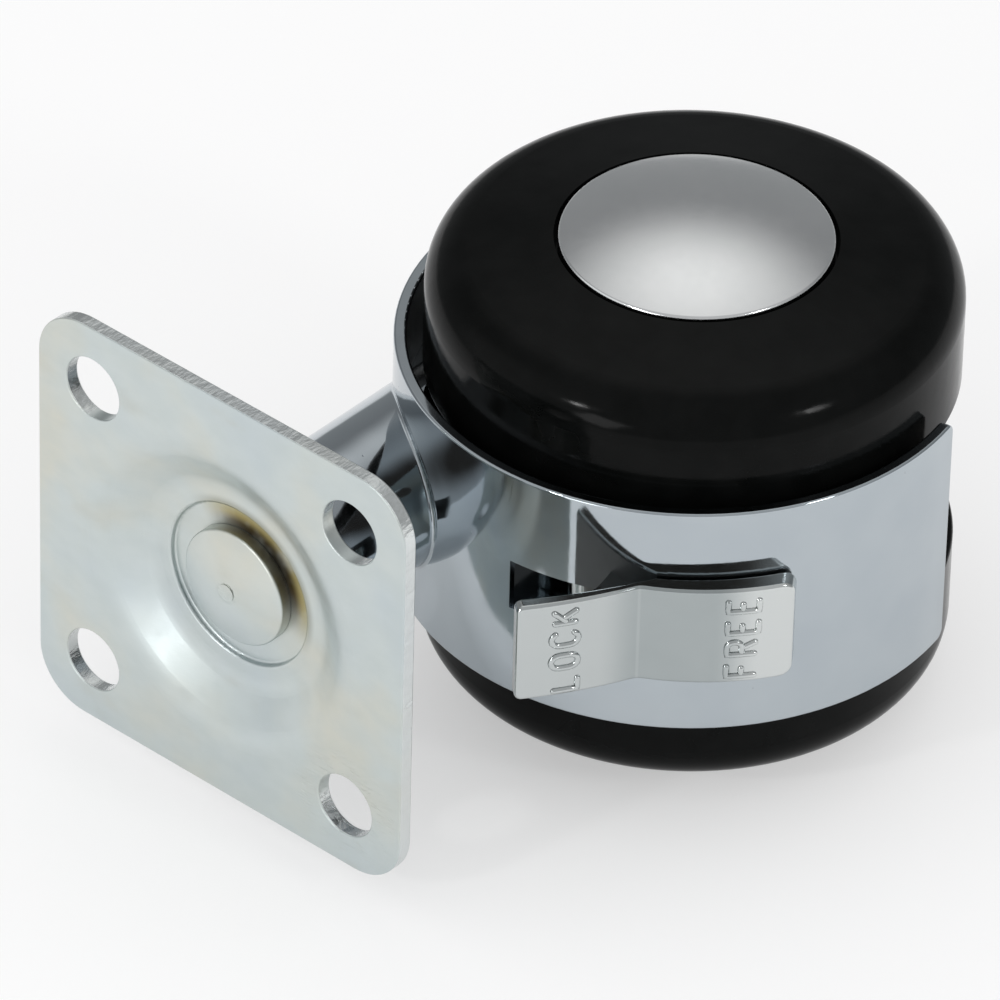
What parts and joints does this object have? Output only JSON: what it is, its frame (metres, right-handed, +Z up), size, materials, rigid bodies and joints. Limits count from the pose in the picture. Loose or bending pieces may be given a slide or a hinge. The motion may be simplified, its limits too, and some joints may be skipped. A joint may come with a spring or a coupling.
{
  "type": "plate castor",
  "caption": "Hooded swivel castor with a square dished mounting plate, a chromed hood on a kingpin boss, black wheels with domed hub caps and a rocker brake lever.",
  "frame": {"origin": "centre of the mounting plate's top face, on the kingpin axis", "axes": "+Z up along the kingpin, out of the mounting face; the axle lies along Y, and the wheels trail towards -X"},
  "size_m": [0.0655, 0.0514, 0.0725],
  "materials": {
    "zinc_plate": "bright zinc plating, satin, with a faint yellow and blue tint",
    "chrome": "polished chrome on a die casting",
    "satin_chrome": "satin chrome",
    "black_nylon": "moulded black nylon, half gloss",
    "steel": "plain drawn and stamped steel"
  },
  "bodies": {
    "plate": {"mounting_plate": "zinc_plate"},
    "swivel_body": {"hood": "chrome", "kingpin": "zinc_plate", "thrust_washer": "steel", "axle": "steel", "left_inner_washer": "steel", "right_inner_washer": "steel", "left_axle_washer": "steel", "right_axle_washer": "steel", "left_axle_clip": "steel", "right_axle_clip": "steel", "brake_pivot_pin": "steel", "brake_detent_spring": "steel"},
    "left_wheel_body": {"left_wheel": "black_nylon", "left_hub_cap": "satin_chrome"},
    "right_wheel_body": {"right_wheel": "black_nylon", "right_hub_cap": "satin_chrome"},
    "brake": {"brake_lever": "chrome", "brake_bar": "steel"}
  },
  "joints": [
    {"name": "swivel", "type": "hinge", "parent": "plate", "child": "swivel_body", "pos_m": [0, 0, 0], "axis": [0, 0, 1], "continuous": true},
    {"name": "left_wheel_spin", "type": "hinge", "parent": "swivel_body", "child": "left_wheel_body", "pos_m": [-0.0158, 0.01, -0.0475], "axis": [0, 1, 0], "continuous": true},
    {"name": "right_wheel_spin", "type": "hinge", "parent": "swivel_body", "child": "right_wheel_body", "pos_m": [-0.0158, -0.01, -0.0475], "axis": [0, 1, 0], "continuous": true},
    {"name": "brake_rock", "type": "hinge", "parent": "swivel_body", "child": "brake", "pos_m": [-0.02838, 0, -0.02815], "axis": [0, 1, 0], "range_deg": [0, 15]}
  ]
}
